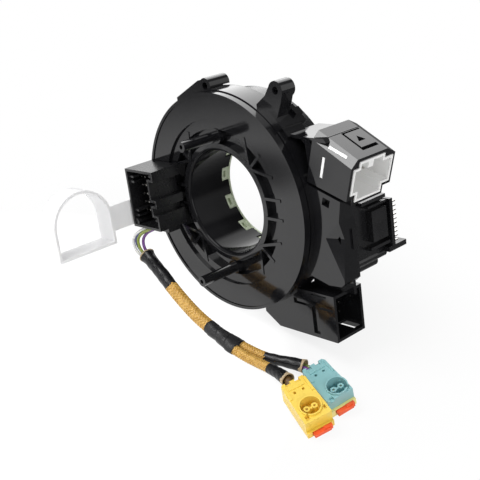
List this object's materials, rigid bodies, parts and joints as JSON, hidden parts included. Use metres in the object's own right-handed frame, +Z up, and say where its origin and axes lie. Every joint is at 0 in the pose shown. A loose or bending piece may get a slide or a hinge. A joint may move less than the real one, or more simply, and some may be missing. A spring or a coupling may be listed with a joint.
{
  "type": "steering clock spring",
  "caption": "Steering column clock spring with a turning disc and hub, side connectors, a lock tab and a short harness that ends in two airbag plugs.",
  "frame": {"origin": "on the axis of the steering bore, 4 mm behind the outer rim of the disc's face", "axes": "-Y along the bore towards the steering wheel, +Z up as the part stands on its rim, +X out of the mouth of the white socket"},
  "size_m": [0.1611, 0.111, 0.118],
  "materials": {
    "black_gloss": "gloss",
    "black_satin": "satin",
    "white_plastic": "gloss",
    "ring_green": "satin",
    "tab_white": "satin",
    "ribbon": "satin",
    "steel": "satin",
    "tin": "satin",
    "brass": "satin",
    "board_green": "satin",
    "magnet": "satin",
    "gear_white": "satin",
    "wire_white": "satin",
    "wire_blue": "satin",
    "wire_green": "satin",
    "wire_purple": "satin",
    "sleeve_black": "satin",
    "braid_gold": "matt",
    "tape_black": "matt",
    "plug_yellow": "satin",
    "plug_teal": "satin",
    "shell_yellow": "satin",
    "lock_orange": "satin"
  },
  "bodies": {
    "stator": {"stator_housing": "black_gloss", "white_socket": "white_plastic", "white_socket_pins": "tin", "lower_socket_pins": "tin", "rear_cover": "black_satin", "flat_cable": "ribbon", "sensor_case": "black_satin", "sensor_cover": "black_satin", "cover_screws": "steel", "sensor_board": "board_green", "sensor_header": "black_satin", "header_pins": "tin"},
    "rotor": {"rotor": "black_gloss", "rotor_connector": "black_satin", "rotor_terminals": "tin", "drive_ring": "ring_green", "wire_white": "wire_white", "wire_blue": "wire_blue", "wire_green": "wire_green", "wire_purple": "wire_purple", "harness_sleeve": "sleeve_black", "harness_braid": "braid_gold", "harness_tape": "tape_black", "branch_yellow": "braid_gold", "sleeve_yellow": "sleeve_black", "branch_teal": "sleeve_black", "sleeve_teal": "sleeve_black", "teal_leads": "wire_purple", "yellow_plug": "plug_yellow", "yellow_terminals": "brass", "yellow_shell": "plug_yellow", "teal_plug": "plug_teal", "teal_terminals": "brass", "teal_shell": "shell_yellow"},
    "lock_tab": {"lock_tab": "tab_white"},
    "gear_a": {"gear_a": "gear_white", "magnet_a": "magnet"},
    "gear_b": {"gear_b": "gear_white", "magnet_b": "magnet"},
    "yellow_lock": {"yellow_lock": "lock_orange"},
    "teal_lock": {"teal_lock": "lock_orange"}
  },
  "joints": [
    {"name": "rotor_turn", "type": "hinge", "parent": "stator", "child": "rotor", "pos_m": [0, 0, 0], "axis": [0, 1, 0], "range_deg": [-900, 900]},
    {"name": "lock_tab_pull", "type": "slide", "parent": "rotor", "child": "lock_tab", "axis": [0, -1, 0], "range_m": [0, 0.03]},
    {"name": "gear_a_spin", "type": "hinge", "parent": "stator", "child": "gear_a", "pos_m": [0.02767, 0.015, 0.0272], "axis": [0, 1, 0], "range_deg": [-4236, 4236]},
    {"name": "gear_b_spin", "type": "hinge", "parent": "stator", "child": "gear_b", "pos_m": [0.03866, 0.015, -0.00647], "axis": [0, 1, 0], "range_deg": [-4001, 4001]},
    {"name": "yellow_lock_slide", "type": "slide", "parent": "rotor", "child": "yellow_lock", "axis": [0.9584, -0.2658, -0.1045], "range_m": [0, 0.0025]},
    {"name": "teal_lock_slide", "type": "slide", "parent": "rotor", "child": "teal_lock", "axis": [0.9681, -0.2504, 0], "range_m": [0, 0.0025]}
  ],
  "couplings": [
    {"joint": "gear_a_spin", "follows": "rotor_turn", "ratio": -4.7059},
    {"joint": "gear_b_spin", "follows": "rotor_turn", "ratio": -4.4444}
  ]
}
